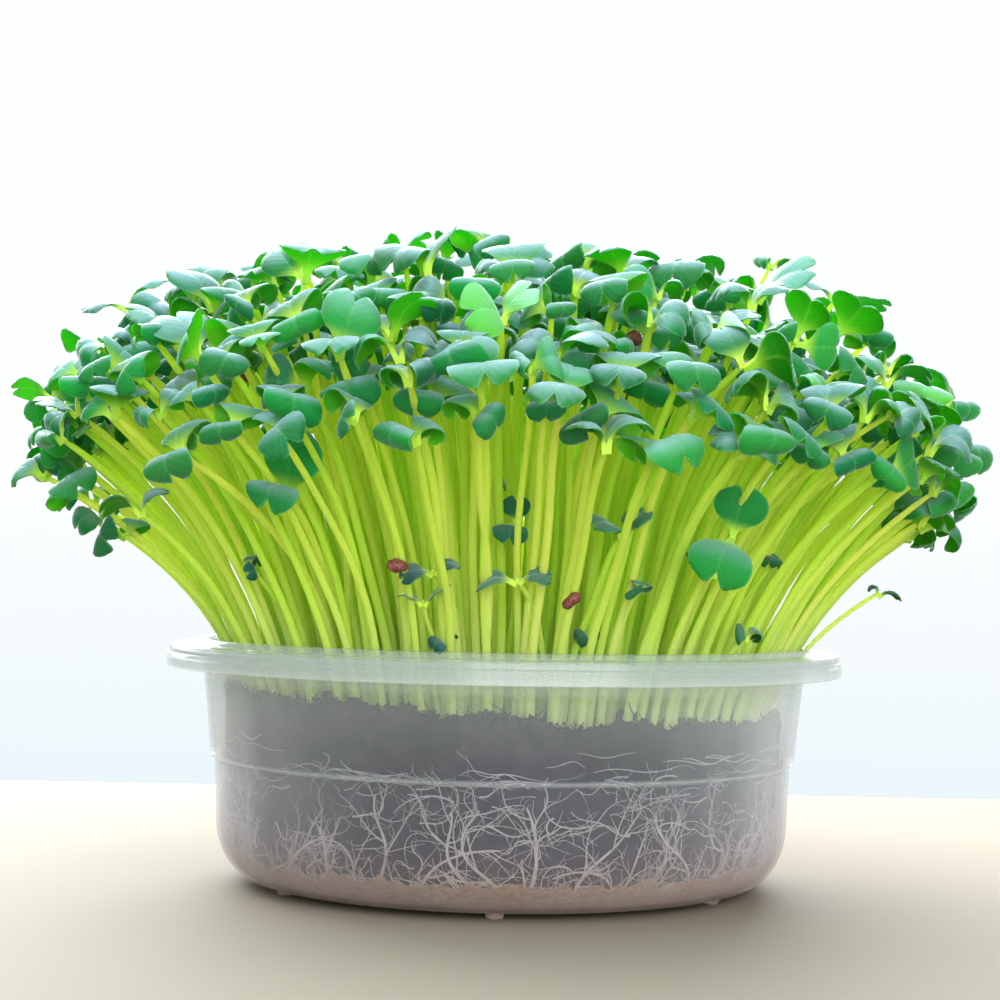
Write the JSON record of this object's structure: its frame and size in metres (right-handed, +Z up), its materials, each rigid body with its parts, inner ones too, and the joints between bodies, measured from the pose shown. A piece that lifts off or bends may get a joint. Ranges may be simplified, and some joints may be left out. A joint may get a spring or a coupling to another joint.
{
  "type": "microgreens tray",
  "caption": "Radish microgreens grown in a round clear plastic food tub, with soil and a root mat; stands on the tub's feet, seedlings fan out over the rim.",
  "frame": {"origin": "on the tub's axis, at the surface that its feet stand on", "axes": "+Z up along the tub's axis; -Y towards the viewer of the picture; +X to the viewer's right"},
  "size_m": [0.2558, 0.2518, 0.1684],
  "materials": {
    "clear_plastic": "smooth, slightly milky polypropylene",
    "white_root": "fine pale roots",
    "dark_soil": "crumbly, moist potting soil",
    "seedling_green": "satin leaves on pale yellow-green stems"
  },
  "bodies": {
    "root": {"tub": "clear_plastic", "root_mat": "white_root", "soil": "dark_soil", "bunch_01": "seedling_green", "bunch_02": "seedling_green", "bunch_03": "seedling_green", "bunch_04": "seedling_green", "bunch_05": "seedling_green", "bunch_06": "seedling_green", "bunch_07": "seedling_green", "bunch_08": "seedling_green", "bunch_09": "seedling_green", "bunch_10": "seedling_green", "bunch_11": "seedling_green", "bunch_12": "seedling_green", "bunch_13": "seedling_green", "bunch_14": "seedling_green", "bunch_15": "seedling_green", "bunch_16": "seedling_green", "bunch_17": "seedling_green", "bunch_18": "seedling_green", "bunch_19": "seedling_green", "bunch_20": "seedling_green", "bunch_21": "seedling_green", "bunch_22": "seedling_green", "bunch_23": "seedling_green", "bunch_24": "seedling_green", "bunch_25": "seedling_green", "bunch_26": "seedling_green"}
  },
  "joints": []
}
